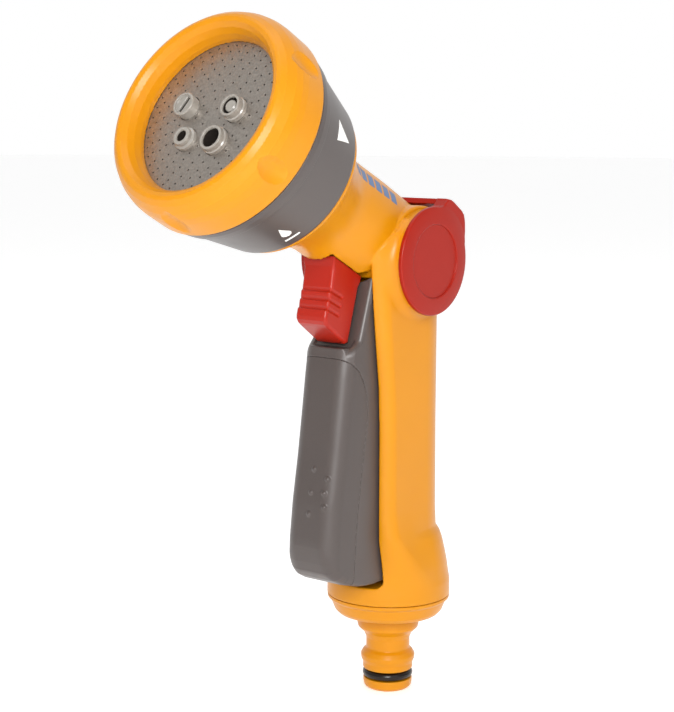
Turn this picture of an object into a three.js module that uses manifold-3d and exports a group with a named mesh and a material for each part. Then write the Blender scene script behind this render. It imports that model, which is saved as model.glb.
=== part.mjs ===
// Garden hose spray gun: five-pattern rotating head, lever trigger with a
// sliding lock, and a saddle lever that turns the flow-control spool.
//
// Millimetres. +Z runs up the handle from the hose inlet, the spray leaves
// towards -Y and slightly up, +X is the gun's side. The origin is the centre of
// the inlet nipple's tip face.
import * as THREE from 'three';
import { mergeVertices } from 'three/addons/utils/BufferGeometryUtils.js';
import Module from 'manifold-3d';

const wasm = await Module();
wasm.setup();

// ---------------------------------------------------------------- dimensions
const GAP = 0.3;                       // clearance between neighbouring pieces

// head axis: crosses the handle's axis at HEAD_Z and climbs at HEAD_TILT
const HEAD_Z = 137.43;
const HEAD_TILT = THREE.MathUtils.degToRad(27.75);
const HEAD_TURN = Math.PI / 2 - HEAD_TILT;

// hose nipple (12.5 mm click-on profile)
const NIPPLE_TIP_R = 7.75;
const NIPPLE_BORE_R = 4.6;
const NIPPLE_NECK_R = 6.9;
const NIPPLE_BULGE_R = 8.55;
const COLLAR_R = 9.75;
const COLLAR_TOP = 24.4;
const NIPPLE_TOP = 35.0;
const ORING_Z = 4.8;
const ORING_MAJOR = 6.7;
const ORING_MINOR = 1.25;

// base and handle
const BASE_R = 19.4;
const SEAM_Z = 31.2;
const FLOOR_Z = 37.0;                  // floor of the trigger channel
const HANDLE_W = 14.3;                 // half width, and radius of the back
const CHANNEL_W = 10.2;                // half width of the trigger channel
const CHANNEL_BACK = -2.4;
// handle sections: z, half width, front edge, outer corner radius
const HANDLE = [
  [31.3, 19.4, -19.4, 19.3], [36.2, 19.35, -19.3, 19.2], [38.2, 18.95, -18.6, 17.0], [42.0, 18.4, -17.9, 13.0],
  [45.5, 17.7, -17.9, 10.0], [49.0, 16.9, -18.3, 7.5], [51.3, 16.1, -18.6, 6.0],
  [53.3, 14.8, -18.8, 4.6], [60.0, 14.5, -18.9, 4.2], [88.0, 14.3, -19.1, 4.0],
  [100.0, 14.3, -19.6, 4.0], [109.0, 14.3, -20.7, 4.0], [118.0, 14.3, -21.8, 4.2],
  [127.0, 14.3, -22.8, 4.6], [136.0, 14.3, -23.7, 5.0], [147.0, 14.3, -24.4, 5.0],
];

// barrel
const BARREL_R = 16.0;
const BARREL_LIFT = 0.5;               // the barrel rides this far above the head axis
const BARREL_BORE_R = 6.8;
const BARREL_FACE = 58.0;              // station of the port face on the head axis
const PORT_R = 3.3;
const PATTERNS = 5;
const PORT_PITCH_R = 8.5;              // circle the ports and nozzles lie on
const PORT_ANGLE = THREE.MathUtils.degToRad(88);

// flow control saddle
const FLOW_Y = -4.0;
const FLOW_Z = 137.56;
const DISC_R = 16.4;
const DISC_IN = 18.1;
const DISC_OUT = 19.5;
const BOSS_R = 17.0;
const SPOOL_R = 5.6;
const SPOOL_BORE_R = 5.9;
const BRIDGE_IN_R = 18.1;
const BRIDGE_OUT_R = 20.1;
const BRIDGE_FROM = 36;                // degrees about the spool from +Y
const BRIDGE_TO = 69;
const BRIDGE_TRAVEL = 50;

// trigger
const PIVOT = [-18.5, 126.5];          // y, z
const PIN_R = 1.5;
const TRIGGER_W = 9.8;
const TRIGGER_WALL = 2.2;
const GRIP_T = 1.8;

// lock
const LOCK_W = 5.8;
const LOCK_TRAVEL = 4.0;
const LOCK_LEAN = Math.atan2(5.5, 18.6);

// trigger valve
const VALVE_Z = 101;
const VALVE_BORE_R = 5.2;

// head
const RING_BACK = 58.5;
const BEZEL_BACK = 82.9;

// ------------------------------------------------------------------ helpers
function toSolid(geometry) {
  let g = geometry.clone();
  g.deleteAttribute('normal');
  g.deleteAttribute('uv');
  g = mergeVertices(g, 1e-4);
  const p = g.attributes.position.array;
  let idx = Array.from(g.index.array);
  const keep = [];
  for (let i = 0; i < idx.length; i += 3) {
    if (idx[i] !== idx[i + 1] && idx[i + 1] !== idx[i + 2] && idx[i] !== idx[i + 2]) {
      keep.push(idx[i], idx[i + 1], idx[i + 2]);
    }
  }
  idx = keep;
  let vol = 0;
  for (let i = 0; i < idx.length; i += 3) {
    const [a, b, c] = [idx[i] * 3, idx[i + 1] * 3, idx[i + 2] * 3];
    vol += p[a] * (p[b + 1] * p[c + 2] - p[b + 2] * p[c + 1])
      + p[a + 1] * (p[b + 2] * p[c] - p[b] * p[c + 2])
      + p[a + 2] * (p[b] * p[c + 1] - p[b + 1] * p[c]);
  }
  if (vol < 0) for (let i = 0; i < idx.length; i += 3) [idx[i], idx[i + 1]] = [idx[i + 1], idx[i]];
  return new wasm.Manifold(new wasm.Mesh({
    numProp: 3, vertProperties: new Float32Array(p), triVerts: new Uint32Array(idx),
  }));
}

function toGeometry(solid) {
  const m = solid.getMesh();
  const g = new THREE.BufferGeometry();
  g.setAttribute('position', new THREE.BufferAttribute(new Float32Array(m.vertProperties), 3));
  g.setIndex(new THREE.BufferAttribute(new Uint32Array(m.triVerts), 1));
  g.computeVertexNormals();
  return g;
}

const at = (shape, matrix) => {
  if (shape.getMesh) return shape.transform(matrix.elements.slice());
  const g = shape.clone(); g.applyMatrix4(matrix); return g;
};
const move = (x, y, z) => new THREE.Matrix4().makeTranslation(x, y, z);
const turnX = (a) => new THREE.Matrix4().makeRotationX(a);
const turnY = (a) => new THREE.Matrix4().makeRotationY(a);
const HEAD = move(0, 0, HEAD_Z).multiply(turnX(HEAD_TURN));

// closed ring or solid of revolution about Z; profile is [r, z] pairs
function spin(profile, segments = 48) {
  const ring = profile.every(([r]) => r > 1e-6);
  const pts = profile.map(([r, z]) => new THREE.Vector2(r, z));
  if (ring) pts.push(pts[0].clone());
  const g = new THREE.LatheGeometry(pts, segments);
  g.applyMatrix4(turnX(Math.PI / 2));
  return g;
}
const rod = (r, z0, z1, segments = 32) => spin([[0, z0], [r, z0], [r, z1], [0, z1]], segments);
const tube = (ri, ro, z0, z1, segments = 32) => spin([[ri, z0], [ro, z0], [ro, z1], [ri, z1]], segments);
const torus = (major, minor, z, seg = 32, side = 10) => {
  const p = [];
  for (let i = 0; i < side; i++) {
    const a = (i + 0.5) / side * 2 * Math.PI;
    p.push([major + minor * Math.cos(a), z + minor * Math.sin(a)]);
  }
  return spin(p, seg);
};
const box = (x0, x1, y0, y1, z0, z1) => at(new THREE.BoxGeometry(x1 - x0, y1 - y0, z1 - z0),
  move((x0 + x1) / 2, (y0 + y1) / 2, (z0 + z1) / 2));

// outline in the Y-Z plane, extruded across X
function across(points, x0, x1) {
  const s = new THREE.Shape(points.map(([y, z]) => new THREE.Vector2(y, z)));
  const g = new THREE.ExtrudeGeometry(s, { depth: x1 - x0, bevelEnabled: false });
  g.applyMatrix4(new THREE.Matrix4().set(0, 0, 1, x0, 1, 0, 0, 0, 0, 1, 0, 0, 0, 0, 0, 1));
  return g;
}
// cylinder along X or Y
const rodX = (r, x0, x1, y, z, seg = 32) => at(rod(r, x0, x1, seg), move(0, y, z).multiply(turnY(Math.PI / 2)));
const rodY = (r, y0, y1, x, z, seg = 32) => at(rod(r, -y1, -y0, seg), move(x, 0, z).multiply(turnX(Math.PI / 2)));
const alongY = (g, x, z) => at(g, move(x, 0, z).multiply(turnX(-Math.PI / 2)));

// skin over equal-length horizontal sections [[x, y], ...] at heights z
function loft(sections) {
  const n = sections[0].pts.length;
  const pos = [], idx = [];
  for (const s of sections) for (const [x, y] of s.pts) pos.push(x, y, s.z);
  for (let k = 0; k + 1 < sections.length; k++) {
    for (let i = 0; i < n; i++) {
      const a = k * n + i, b = k * n + (i + 1) % n;
      idx.push(a, b, b + n, a, b + n, a + n);
    }
  }
  for (const k of [0, sections.length - 1]) {
    const c = pos.length / 3;
    const pts = sections[k].pts;
    pos.push(pts.reduce((t, q) => t + q[0], 0) / n, pts.reduce((t, q) => t + q[1], 0) / n, sections[k].z);
    for (let i = 0; i < n; i++) {
      const a = k * n + i, b = k * n + (i + 1) % n;
      if (k === 0) idx.push(c, b, a); else idx.push(c, a, b);
    }
  }
  const g = new THREE.BufferGeometry();
  g.setAttribute('position', new THREE.BufferAttribute(new Float32Array(pos), 3));
  g.setIndex(idx);
  return g;
}

const S = toSolid;
const union = (...g) => g.map((q) => (q.getMesh ? q : S(q))).reduce((a, b) => a.add(b));
const cut = (a, ...g) => g.map((q) => (q.getMesh ? q : S(q))).reduce((r, b) => r.subtract(b), a.getMesh ? a : S(a));
const meet = (a, b) => (a.getMesh ? a : S(a)).intersect(b.getMesh ? b : S(b));

// helical spring about Z from z0 to z1, ends left open as on small valve springs
function spring(r, wire, z0, z1, turns, perTurn = 8) {
  class Helix extends THREE.Curve {
    getPoint(t, out = new THREE.Vector3()) {
      const a = t * turns * 2 * Math.PI;
      return out.set(r * Math.cos(a), r * Math.sin(a), z0 + wire + (z1 - z0 - 2 * wire) * t);
    }
  }
  const c = new Helix();
  const s = new THREE.Shape();
  for (let i = 0; i < 5; i++) {
    const a = i / 5 * 2 * Math.PI;
    if (i) s.lineTo(wire * Math.cos(a), wire * Math.sin(a)); else s.moveTo(wire, 0);
  }
  return new THREE.ExtrudeGeometry(s, { steps: Math.round(turns * perTurn), extrudePath: c, bevelEnabled: false });
}

// ---------------------------------------------------------------- materials
const plastic = (hex, rough = 0.38) => new THREE.MeshStandardMaterial({ color: hex, roughness: rough, metalness: 0 });
const orange = () => plastic(0xf5a81e, 0.36);
const grey = () => plastic(0x6d625f, 0.5);
const red = () => plastic(0xbd3a2c, 0.42);
const pale = () => plastic(0xa89f9a, 0.3);
const rubber = () => plastic(0x2b2422, 0.55);
const steel = () => new THREE.MeshStandardMaterial({ color: 0xb9bcc0, roughness: 0.3, metalness: 1 });
const brass = () => new THREE.MeshStandardMaterial({ color: 0xb8923f, roughness: 0.35, metalness: 1 });

const gun = new THREE.Group();
const headGroup = new THREE.Group();
headGroup.position.set(0, 0, HEAD_Z);
headGroup.rotation.x = HEAD_TURN;
gun.add(headGroup);

function node(name, shape, material, parent = gun) {
  const g = shape.getMesh ? toGeometry(shape) : toGeometry(S(shape));
  const m = new THREE.Mesh(g, material);
  m.name = name;
  parent.add(m);
  return m;
}

// ---------------------------------------------------------------- main body
function handleSection(w, yf, rc, back = 14) {
  const pts = [];
  const arc = 10;
  for (let i = 0; i <= arc; i++) {                       // round back, +X to -X
    const a = i / arc * Math.PI;
    pts.push([w * Math.cos(a), w * Math.sin(a)]);
  }
  const corner = 4;
  for (let i = 0; i <= corner; i++) {                    // front corner on -X
    const a = Math.PI + i / corner * Math.PI / 2;
    pts.push([-(w - rc) + rc * Math.cos(a), yf + rc + rc * Math.sin(a)]);
  }
  for (let i = 0; i <= corner; i++) {                    // front corner on +X
    const a = 1.5 * Math.PI + i / corner * Math.PI / 2;
    pts.push([(w - rc) + rc * Math.cos(a), yf + rc + rc * Math.sin(a)]);
  }
  // the first and last points of each run must not coincide
  const j = arc + 1, k = j + corner, q = k + corner + 1;
  pts[j][1] -= 0.02; pts[q][1] -= 0.02; pts[k][0] -= 0.02; pts[k + 1][0] += 0.02;
  return pts;
}
const handle = cut(
  loft(HANDLE.map(([z, w, yf, rc]) => ({ z, pts: handleSection(w, yf, rc) }))),
  // slanted top, hidden inside the barrel and the saddle boss
  across([[40, 137.6], [4, 137.6], [-30, 145.6], [-60, 152.6], [-60, 200], [40, 200]], -30, 30),
  // between the side walls the barrel's own belly closes the channel
  across([[-70, FLOOR_Z], [-70, 150], [-12, 150], [-12, 118], [CHANNEL_BACK, 118], [CHANNEL_BACK, FLOOR_Z]], -CHANNEL_W, CHANNEL_W),
);
const barrelForm = spin([
  [0, -6], [10, -6], [13.6, -4.4], [15.6, -1.5], [BARREL_R, 4], [BARREL_R, 20], [15.8, 28], [15.65, 36], [16.1, 40],
  [17.4, 45], [19.5, 50], [22.8, 54.8], [24.5, 56.3], [25.0, 56.9], [25.0, 57.7], [24.7, BARREL_FACE], [0, BARREL_FACE],
], 40);
{
  const p = barrelForm.attributes.position;
  for (let i = 0; i < p.count; i++) {
    const t = THREE.MathUtils.clamp((50 - p.getZ(i)) / 26, 0, 1);
    p.setY(i, p.getY(i) + BARREL_LIFT * t);
  }
}
const barrel = S(at(barrelForm, HEAD));
const bellyCut = (clearance) => S(at(rod(BARREL_R + clearance, -30, 60, 36), HEAD.clone().multiply(move(0, BARREL_LIFT, 0))));
const saddleBoss = union(
  rodX(BOSS_R, -14.6, 14.6, FLOW_Y, FLOW_Z, 40),
  rodX(15.8, -17.7, 17.7, FLOW_Y, FLOW_Z, 36),
);
function sector(r0, r1, a0, a1, x0, x1) {
  const pts = [];
  const n = Math.ceil(Math.abs(a1 - a0) / 6);
  const at2 = (r, a) => [FLOW_Y + r * Math.cos(a * Math.PI / 180), FLOW_Z + r * Math.sin(a * Math.PI / 180)];
  for (let i = 0; i <= n; i++) pts.push(at2(r0, a0 + (a1 - a0) * i / n));
  for (let i = n; i >= 0; i--) pts.push(at2(r1, a0 + (a1 - a0) * i / n));
  return across(pts, x0, x1);
}
const bridgeSweep = union(
  sector(BRIDGE_IN_R - 0.45, 27, BRIDGE_FROM - BRIDGE_TRAVEL - 4, BRIDGE_TO + 1.5, -24, 24),
  // the thick cheeks beside the bridge pass outside the narrow boss
  sector(16.05, 27, 18 - BRIDGE_TRAVEL, BRIDGE_TO + 1.5, 14.7, 24),
  sector(16.05, 27, 18 - BRIDGE_TRAVEL, BRIDGE_TO + 1.5, -24, -14.7),
);
const portXY = [PORT_PITCH_R * Math.cos(PORT_ANGLE), PORT_PITCH_R * Math.sin(PORT_ANGLE)];

// room in the barrel's belly for the lock as it slides up and swings with the trigger
const lockPocket = across([
  [-37.2, 134], [-37.0, 141], [-36.6, 143.6], [-34.6, 144.9], [-19.8, 138.0], [-20.2, 127],
], -LOCK_W - 0.35, LOCK_W + 0.35);

let body = union(handle, barrel, saddleBoss);
body = cut(body,
  box(-CHANNEL_W, CHANNEL_W, -70, CHANNEL_BACK, FLOOR_Z, 118),
  across([[-70, 117.9], [-40, 134], [-26.5, 133.0], [-24, 132.8], [-20.5, 132.9], [-15.0, 131.8],
    [-12.6, 128.6], [-12.2, 124], [-12.0, 117.9]], -CHANNEL_W, CHANNEL_W),
  bridgeSweep,
  lockPocket,
  // water way: nipple socket, riser, valve chamber, riser to the spool, barrel bore, port
  rod(7.4, 31, 35.5, 24),
  at(rod(3.2, 35.2, 99, 14), move(0, 8.2, 0)),
  rodY(VALVE_BORE_R, CHANNEL_BACK - 1, 11.8, 0, VALVE_Z, 24),
  rodX(SPOOL_BORE_R, -20, 20, FLOW_Y, FLOW_Z, 24),
  at(rod(BARREL_BORE_R, 3.2, 50, 24), HEAD),
  at(rod(PORT_R, 49, 60, 18), HEAD.clone().multiply(move(portXY[0], portXY[1], 0))),
  at(rod(2.4, 51.5, 60, 14), HEAD),
  // trigger pin sockets
  rodX(PIN_R + GAP, -12.9, 12.9, PIVOT[0], PIVOT[1], 14),
);
{
  // slanted riser between the valve chamber and the spool
  const a = new THREE.Vector3(0, 2.0, VALVE_Z), b = new THREE.Vector3(0, FLOW_Y, FLOW_Z - 3);
  const dir = b.clone().sub(a);
  const len = dir.length();
  const q = new THREE.Quaternion().setFromUnitVectors(new THREE.Vector3(0, 0, 1), dir.clone().normalize());
  const m = new THREE.Matrix4().compose(a, q, new THREE.Vector3(1, 1, 1));
  body = cut(body, at(rod(2.9, 0, len, 14), m));
}
node('main_body', body, orange());

// ------------------------------------------------------------ inlet and base
node('inlet_nipple', spin([
  [NIPPLE_BORE_R, 0], [6.4, 0], [7.3, 0.6], [NIPPLE_TIP_R, 1.9], [NIPPLE_TIP_R, 3.2], [5.0, 3.2], [5.0, 6.4],
  [7.7, 6.4], [7.9, 6.8], [7.9, 8.3], [8.5, 9.6], [NIPPLE_BULGE_R, 10.9], [7.8, 12.2],
  [NIPPLE_NECK_R, 12.9], [NIPPLE_NECK_R, 16.6], [7.6, 18.2], [9.1, 19.4], [9.6, 20.2], [COLLAR_R, 21.2], [COLLAR_R, COLLAR_TOP],
  [6.9, COLLAR_TOP], [6.9, 30.6], [5.9, 30.6], [5.9, 33.4], [6.9, 33.4], [6.9, NIPPLE_TOP], [NIPPLE_BORE_R, NIPPLE_TOP],
], 24), orange());
node('inlet_oring', torus(ORING_MAJOR, ORING_MINOR, ORING_Z, 24, 8), rubber());
node('cap_seal', torus(6.7, 0.55, 32.0, 20, 6), rubber());
node('end_cap', spin([
  [7.3, 24.75], [14.4, 24.75], [15.9, 25.2], [16.9, 26.1], [17.6, 27.6], [18.2, 29.4],
  [BASE_R, 30.2], [BASE_R, 30.9], [7.3, 30.9],
], 32), orange());

// ------------------------------------------------------------- trigger valve
node('gland_bush', alongY(spin([
  [1.65, -4.1], [6.2, -4.1], [6.2, -2.75], [4.9, -2.75], [4.9, 1.9], [1.65, 1.9], [1.65, 0.2], [3.4, 0.2], [3.4, -1.8], [1.65, -1.8],
], 18), 0, VALVE_Z), brass());
node('stem_seal', alongY(torus(2.5, 0.75, -0.8, 16, 6), 0, VALVE_Z), rubber());
node('valve_seat', alongY(tube(2.8, 4.9, 2.9, 4.1, 18), 0, VALVE_Z), brass());
node('valve_stem', alongY(spin([
  [0, -8.3], [2.6, -8.3], [2.6, -7.2], [1.3, -7.2], [1.3, 5.3], [4.2, 5.3], [4.2, 6.5], [2.0, 6.5], [2.0, 7.6], [0, 7.6],
], 14), 0, VALVE_Z), steel());
node('valve_washer', alongY(tube(1.6, 4.3, 4.35, 5.0, 16), 0, VALVE_Z), rubber());
node('valve_spring', alongY(at(spring(3.2, 0.35, 6.8, 11.5, 3.5), new THREE.Matrix4()), 0, VALVE_Z), steel());

// -------------------------------------------------------------------- trigger
// front line of the trigger: z, front y
const FRONT = [
  [36, -40.2], [46, -40.5], [50, -40.7], [55, -40.5], [66, -39.2], [80, -36.8], [94, -34.8], [105, -33.3], [112.6, -32.0],
];
function triggerSection(yf, inset, wFront = 8.7, rc = 4.6, yr = 6) {
  const wr = TRIGGER_W - inset, wf = wFront - inset;
  const r = Math.max(rc - inset, 0.6);
  const y = yf + inset;
  const half = [[wr, yr], [wr, Math.min(-20, y + 12)], [wr - 0.35, y + r + 3.2]];
  for (let i = 0; i <= 5; i++) {
    const a = -i / 5 * Math.PI / 2;
    half.push([wf - r + r * Math.cos(a), y + r + r * Math.sin(a)]);
  }
  half.push([wf * 0.25, y - 0.35]);
  return half.concat(half.slice().reverse().map(([x, yy]) => [-x, yy]));
}
function triggerForm(inset) {
  const levels = FRONT.map(([z, yf]) => ({ z, pts: triggerSection(yf, inset) }));
  const upper = [[112.7, -28.0], [114.4, -27.2], [123.5, -24.5], [141.0, -19.3]]
    .map(([z, yf]) => ({ z, pts: triggerSection(yf, inset, TRIGGER_W - 0.2, 0.9) }));
  return S(loft(levels.concat(upper)));
}
const sideProfile = across([
  [-12.5, 39.7], [-20, 39.3], [-27, 39.8], [-33, 41.3], [-36.2, 43.0], [-38.6, 45.2], [-40.2, 48.2], [-41.6, 52.5], [-46, 60], [-46, 113.0],
  [-46, 141], [-22.6, 141], [-20.9, 132.2], [-17.6, 131.2], [-15.0, 129.9], [-13.9, 127.8], [-13.8, 124.5], [-13.0, 116.5], [-10.4, 112], [-9.8, 104], [-10.4, 80], [-11.4, 60],
], -15, 15);
const hollowProfile = across([
  [2, 41.9], [-20, 41.6], [-27, 42.1], [-31.5, 43.8], [-34.6, 45.6], [-46, 53], [-46, 123.6], [2, 123.6],
], -15, 15);
const PAD = [
  [-37.5, 111.4], [-34, 110.4], [-30.7, 108.4], [-27.8, 105.8], [-25.6, 102.4], [-24.2, 98.2], [-23.9, 90.7], [-25.4, 81.9],
  [-26.8, 73], [-28.1, 64], [-29.1, 55], [-29.6, 48], [-30.4, 36],
];
const PAD_GROWN = PAD.map(([y, z], i) => [y + (i < 3 ? 0.1 : 0.3), z + (i < 4 ? 0.3 : 0)]);
const padRegion = across([...PAD, [-60, 36], [-60, 111.4]], -15, 15);
const padCut = across([...PAD_GROWN, [-60, 35.8], [-60, 111.7]], -15, 15);

const outer = meet(triggerForm(0), sideProfile);
let lever = cut(outer, cut(padCut, triggerForm(GRIP_T + 0.1)));
lever = cut(lever, meet(triggerForm(GRIP_T + TRIGGER_WALL - 0.6), hollowProfile));
lever = cut(lever, bellyCut(0.6));
lever = union(lever,
  meet(union(rodX(4.2, -TRIGGER_W, -6.6, PIVOT[0], PIVOT[1], 20), rodX(4.2, 6.6, TRIGGER_W, PIVOT[0], PIVOT[1], 20)),
    box(-12, 12, -40, 0, 100, 140)),
  // crosswise web whose back face meets the valve stem
  meet(box(-6.9, 6.9, -34, -8.75, VALVE_Z - 1.4, VALVE_Z + 1.4), triggerForm(GRIP_T + 0.5)),
);
lever = cut(lever, rodX(PIN_R + GAP, -14, 14, PIVOT[0], PIVOT[1], 12));

// lock frame: origin on the trigger's upper front face, z up along the slide
const LOCK_ORIGIN = [-27.2, 114.4];
const lockFrame = (g) => at(g, move(0, LOCK_ORIGIN[0], LOCK_ORIGIN[1]).multiply(turnX(-LOCK_LEAN)));
lever = cut(lever, lockFrame(box(-3.0, 3.0, -3, 6, 1.4, 5.4 + LOCK_TRAVEL + 0.6)));
node('trigger_lever', lever, grey());
node('trigger_grip', cut(meet(outer, padRegion), triggerForm(GRIP_T - 0.2)), grey());
node('pivot_pin', rodX(PIN_R, -12.6, 12.6, PIVOT[0], PIVOT[1], 12), steel());

// ----------------------------------------------------------------- lock slide
const lockBlock = across([
  [-35.2, 140.3], [-35.3, 137.2], [-36.0, 133.0], [-36.5, 130.6], [-36.9, 129.9], [-37.0, 128.4], [-37.5, 127.6], [-37.7, 126.0], [-38.3, 125.2],
  [-39.1, 122.6], [-39.2, 121.4], [-38.5, 120.2], [-37.4, 119.3], [-29.5, 113.75], [-28.2, 113.9], [-27.95, 114.5], [-22.35, 133.5],
], -LOCK_W, LOCK_W);
const lock = union(
  lockBlock,
  lockFrame(box(-2.6, 2.6, -1.2, 4.2, 1.9, 5.2)),
  lockFrame(box(-4.6, 4.6, 3.7, 4.8, 1.9, 5.2)),
);
node('trigger_lock', lock, red());

// ------------------------------------------------------------- flow control
// outline of the bridge and of the cheek that carries it, in the Y-Z plane
const bridgeOut = [[3.2, 156.05], [5.6, 155.7], [8.0, 154.7], [10.2, 152.9], [11.5, 150.7], [12.0, 148.6]];
const bridgeIn = [];
for (let a = BRIDGE_FROM; a <= BRIDGE_TO + 0.01; a += (BRIDGE_TO - BRIDGE_FROM) / 5) {
  bridgeIn.push([FLOW_Y + BRIDGE_IN_R * Math.cos(a * Math.PI / 180), FLOW_Z + BRIDGE_IN_R * Math.sin(a * Math.PI / 180)]);
}
const bridge = across([...bridgeOut, ...bridgeIn], -DISC_IN - 0.3, DISC_IN + 0.3);
const cheekOutline = [[-1, 140], [-1, 153.2], [1.0, 154.2], ...bridgeOut, [12.0, 145.6], [11.5, 142.6], [6, 139]];
const half = cut(union(
  rodX(DISC_R, DISC_IN, DISC_OUT, FLOW_Y, FLOW_Z, 40),
  across(cheekOutline, DISC_IN, DISC_OUT),
  cut(across(cheekOutline, 15.0, DISC_IN + 0.2), rodX(16.25, 14, DISC_IN, FLOW_Y, FLOW_Z, 36)),
  rodX(5.5, 13.7, DISC_IN + 0.2, FLOW_Y, FLOW_Z, 18),
), rodX(11.1, DISC_OUT - 0.4, DISC_OUT + 1, FLOW_Y, FLOW_Z, 28), rodX(3.5, 13.0, DISC_OUT - 0.8, FLOW_Y, FLOW_Z, 6));
node('flow_lever', union(half, half.mirror([1, 0, 0]), bridge), red());
const ports = [];
for (const dir of [new THREE.Vector3(0, 6.0 * 0.166, -1), new THREE.Vector3(0, -Math.cos(HEAD_TILT), Math.sin(HEAD_TILT))]) {
  const q = new THREE.Quaternion().setFromUnitVectors(new THREE.Vector3(0, 0, 1), dir.clone().normalize());
  ports.push(at(rod(2.6, -1.2, 9, 12), new THREE.Matrix4().compose(new THREE.Vector3(0, FLOW_Y, FLOW_Z), q, new THREE.Vector3(1, 1, 1))));
}
const spoolBody = cut(at(spin([
  [0, -18.3], [2.9, -18.3], [2.9, -13.3], [SPOOL_R, -13.3], [SPOOL_R, -11.6], [4.1, -11.6], [4.1, -9.4], [SPOOL_R, -9.4],
  [SPOOL_R, 9.4], [4.1, 9.4], [4.1, 11.6], [SPOOL_R, 11.6], [SPOOL_R, 13.3], [2.9, 13.3], [2.9, 18.3], [0, 18.3],
], 18), move(0, FLOW_Y, FLOW_Z).multiply(turnY(Math.PI / 2))), ...ports);
node('flow_spool', spoolBody, pale());
for (const [side, x] of [['l', -10.5], ['r', 10.5]]) {
  node(`spool_oring_${side}`, at(torus(5.0, 0.65, x, 18, 6), move(0, FLOW_Y, FLOW_Z).multiply(turnY(Math.PI / 2))), rubber());
}

// ------------------------------------------------------------------ the head
// everything below is drawn in the head frame, z along the spray
node('port_seal', at(tube(2.0, 3.0, 54.9, 58.9, 16), move(portXY[0], portXY[1], 0)), rubber(), headGroup);
node('port_spring', at(spring(2.45, 0.3, 50.4, 54.6, 4, 8), move(portXY[0], portXY[1], 0)), steel(), headGroup);
node('head_screw', spin([[0, 52], [2.1, 52], [2.1, 66.1], [3.9, 66.1], [3.9, 68.2], [3.3, 68.9], [0, 68.9]], 14), steel(), headGroup);

const portAt = (k) => {
  const a = PORT_ANGLE + k * 2 * Math.PI / PATTERNS;
  return move(PORT_PITCH_R * Math.cos(a), PORT_PITCH_R * Math.sin(a), 0);
};
// outer radii at the five positions: rose (no nozzle), flat, jet, fill, cone
const NOZZLE_R = [0, 3.55, 3.4, 4.05, 3.65];
// nozzle centres in the head's cross plane
const NOZZLE_XY = [[0, 0], [-9.5, 2.9], [-6.2, -6.7], [4.75, -7.05], [8.2, 2.3]];
const nozzlePlace = (k) => move(NOZZLE_XY[k][0], NOZZLE_XY[k][1], 0);
let block = spin([[2.5, 59.3], [21.8, 59.3], [21.8, 64.4], [6.2, 64.4], [6.2, 65.7], [2.5, 65.7]], 32);
block = cut(block, ...[0, 1, 2, 3, 4].map((k) => at(rod(2.0, 58, 70, 10), portAt(k))));
block = cut(block, ...[1, 2, 3, 4].map((k) => at(rod(NOZZLE_R[k] + 0.35, 64.0, 70, 16), nozzlePlace(k))));
node('diverter_block', block, pale(), headGroup);

node('selector_ring', spin([
  [22.4, RING_BACK], [25.7, RING_BACK], [25.95, 59.3], [29.4, 77.6], [30.2, 78.6], [30.7, 81.6], [30.7, 82.5],
  [27.3, 82.5], [27.3, 88.6], [25.4, 88.6], [25.4, 76], [22.4, 66],
], 36), grey(), headGroup);
node('rose_gasket', tube(25.6, 27.1, 88.9, 89.5, 28), rubber(), headGroup);
const plate = cut(rod(27.3, 89.8, 91.4, 36), ...[1, 2, 3, 4].map((k) => at(rod(NOZZLE_R[k] + GAP, 80, 100, 16), nozzlePlace(k))));
node('rose_plate', plate, pale(), headGroup);
node('bezel_ring', spin([
  [27.7, BEZEL_BACK], [31.0, BEZEL_BACK], [31.4, 84.0], [31.4, 90.5], [30.9, 93.8], [28.9, 98.0],
  [27.3, 98.9], [25.4, 98.0], [23.6, 94.9], [23.2, 93.2], [23.4, 91.9], [27.7, 91.9],
], 40), orange(), headGroup);

// nozzles stand on the diverter block and pass through the rose plate;
// clockwise seen from behind: rose, flat, jet, fill, cone
node('nozzle_flat', at(cut(
  cut(spin([[0, 64.5], [3.55, 64.5], [3.55, 93.8], [3.2, 94.3], [0, 94.3]], 14), rod(2.3, 64, 92.6, 12)),
  at(box(-2.3, 2.3, -0.5, 0.5, 92, 95), new THREE.Matrix4().makeRotationZ(0.9)),
), nozzlePlace(1)), pale(), headGroup);
node('nozzle_jet', at(spin([
  [1.6, 64.5], [3.4, 64.5], [3.4, 92.6], [2.6, 92.9], [2.6, 93.9], [1.7, 94.1],
], 14), nozzlePlace(2)), pale(), headGroup);
node('nozzle_fill', at(spin([
  [2.7, 64.5], [4.05, 64.5], [4.05, 93.2], [3.7, 93.6], [2.9, 93.6], [2.7, 93.3],
], 16), nozzlePlace(3)), pale(), headGroup);
node('nozzle_cone', at(spin([
  [2.6, 64.5], [3.65, 64.5], [3.65, 94.2], [3.3, 94.6], [2.6, 94.6],
], 14), nozzlePlace(4)), pale(), headGroup);
node('cone_core', at(spin([[0, 72], [2.2, 72], [2.2, 74], [1.3, 75], [1.3, 90], [1.9, 91.2], [1.9, 94.2], [0, 94.2]], 10), nozzlePlace(4)), pale(), headGroup);

export default gun;
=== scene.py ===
"""Hose spray gun: the visible skins, their finishes, and a small pale studio.

Lengths below are in millimetres in the row frame (+Z up, origin at the foot of
the inlet nipple) and are scaled to metres when a mesh is made.
"""
import math

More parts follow.
